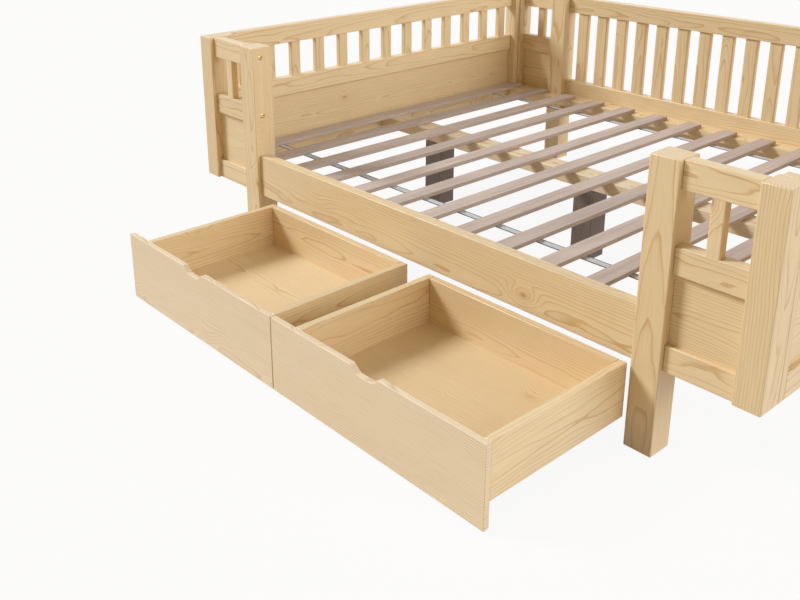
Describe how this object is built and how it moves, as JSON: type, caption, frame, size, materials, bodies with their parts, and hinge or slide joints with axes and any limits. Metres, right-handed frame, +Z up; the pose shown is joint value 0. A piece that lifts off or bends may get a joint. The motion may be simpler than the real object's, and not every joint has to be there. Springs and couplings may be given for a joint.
{
  "type": "platform bed",
  "caption": "Low pine platform bed with slatted ends, a slatted back guard, a slatted base and two roll-out drawers on casters.",
  "frame": {"origin": "on the floor, at the middle of the rectangle that the bed and its pulled-out drawers cover", "axes": "+X to the right along the bed seen from the drawers, +Y from the drawers to the guarded back, +Z up"},
  "size_m": [2.11, 2.172, 0.725],
  "materials": {
    "pine": "satin clear-finished pine with knots and flame grain",
    "drawer_pine": "satin pine, warmer in tone",
    "laminate": "matt laminated veneer slats, grey-brown",
    "webbing": "flat woven strap, light grey",
    "nylon": "matt black wheel"
  },
  "bodies": {
    "frame": {"corner_post_front_left": "pine", "corner_post_front_right": "pine", "corner_post_back_left": "pine", "corner_post_back_right": "pine", "outer_post_front_left": "pine", "outer_post_front_right": "pine", "outer_post_back_left": "pine", "outer_post_back_right": "pine", "return_panel_front_left": "pine", "return_panel_front_right": "pine", "return_panel_back_left": "pine", "return_panel_back_right": "pine", "left_end_top_rail": "pine", "left_end_mid_rail": "pine", "left_end_bottom_rail": "pine", "left_end_panel": "pine", "right_end_top_rail": "pine", "right_end_mid_rail": "pine", "right_end_bottom_rail": "pine", "right_end_panel": "pine", "front_side_rail": "pine", "back_side_rail": "pine", "guard_top_rail": "pine", "front_ledger": "drawer_pine", "back_ledger": "drawer_pine", "centre_beam": "pine", "slat_1": "laminate", "slat_2": "laminate", "slat_3": "laminate", "slat_4": "laminate", "slat_5": "laminate", "slat_6": "laminate", "slat_7": "laminate", "slat_8": "laminate", "slat_9": "laminate", "slat_10": "laminate", "slat_11": "laminate", "slat_12": "laminate", "slat_13": "laminate", "slat_14": "laminate", "front_strap": "webbing", "back_strap": "webbing"},
    "left_drawer": {"left_drawer_front": "pine", "left_drawer_left_side": "drawer_pine", "left_drawer_right_side": "drawer_pine", "left_drawer_back": "drawer_pine", "left_drawer_bottom": "drawer_pine"},
    "left_drawer_wheel_front_left": {"left_drawer_wheel_front_left": "nylon"},
    "left_drawer_wheel_front_right": {"left_drawer_wheel_front_right": "nylon"},
    "left_drawer_wheel_back_left": {"left_drawer_wheel_back_left": "nylon"},
    "left_drawer_wheel_back_right": {"left_drawer_wheel_back_right": "nylon"},
    "right_drawer": {"right_drawer_front": "pine", "right_drawer_left_side": "drawer_pine", "right_drawer_right_side": "drawer_pine", "right_drawer_back": "drawer_pine", "right_drawer_bottom": "drawer_pine"},
    "right_drawer_wheel_front_left": {"right_drawer_wheel_front_left": "nylon"},
    "right_drawer_wheel_front_right": {"right_drawer_wheel_front_right": "nylon"},
    "right_drawer_wheel_back_left": {"right_drawer_wheel_back_left": "nylon"},
    "right_drawer_wheel_back_right": {"right_drawer_wheel_back_right": "nylon"}
  },
  "joints": [
    {"name": "left_drawer_slide", "type": "slide", "parent": "frame", "child": "left_drawer", "axis": [0, 1, 0], "range_m": [0, 0.494]},
    {"name": "left_drawer_wheel_front_left_spin", "type": "hinge", "parent": "left_drawer", "child": "left_drawer_wheel_front_left", "pos_m": [-0.557, -1.006, 0.025], "axis": [1, 0, 0], "continuous": true},
    {"name": "left_drawer_wheel_front_right_spin", "type": "hinge", "parent": "left_drawer", "child": "left_drawer_wheel_front_right", "pos_m": [-0.0975, -1.006, 0.025], "axis": [1, 0, 0], "continuous": true},
    {"name": "left_drawer_wheel_back_left_spin", "type": "hinge", "parent": "left_drawer", "child": "left_drawer_wheel_back_left", "pos_m": [-0.557, -0.687, 0.025], "axis": [1, 0, 0], "continuous": true},
    {"name": "left_drawer_wheel_back_right_spin", "type": "hinge", "parent": "left_drawer", "child": "left_drawer_wheel_back_right", "pos_m": [-0.0975, -0.687, 0.025], "axis": [1, 0, 0], "continuous": true},
    {"name": "right_drawer_slide", "type": "slide", "parent": "frame", "child": "right_drawer", "axis": [0, 1, 0], "range_m": [0, 0.494]},
    {"name": "right_drawer_wheel_front_left_spin", "type": "hinge", "parent": "right_drawer", "child": "right_drawer_wheel_front_left", "pos_m": [0.1805, -1.006, 0.025], "axis": [1, 0, 0], "continuous": true},
    {"name": "right_drawer_wheel_front_right_spin", "type": "hinge", "parent": "right_drawer", "child": "right_drawer_wheel_front_right", "pos_m": [0.64, -1.006, 0.025], "axis": [1, 0, 0], "continuous": true},
    {"name": "right_drawer_wheel_back_left_spin", "type": "hinge", "parent": "right_drawer", "child": "right_drawer_wheel_back_left", "pos_m": [0.1805, -0.687, 0.025], "axis": [1, 0, 0], "continuous": true},
    {"name": "right_drawer_wheel_back_right_spin", "type": "hinge", "parent": "right_drawer", "child": "right_drawer_wheel_back_right", "pos_m": [0.64, -0.687, 0.025], "axis": [1, 0, 0], "continuous": true}
  ]
}
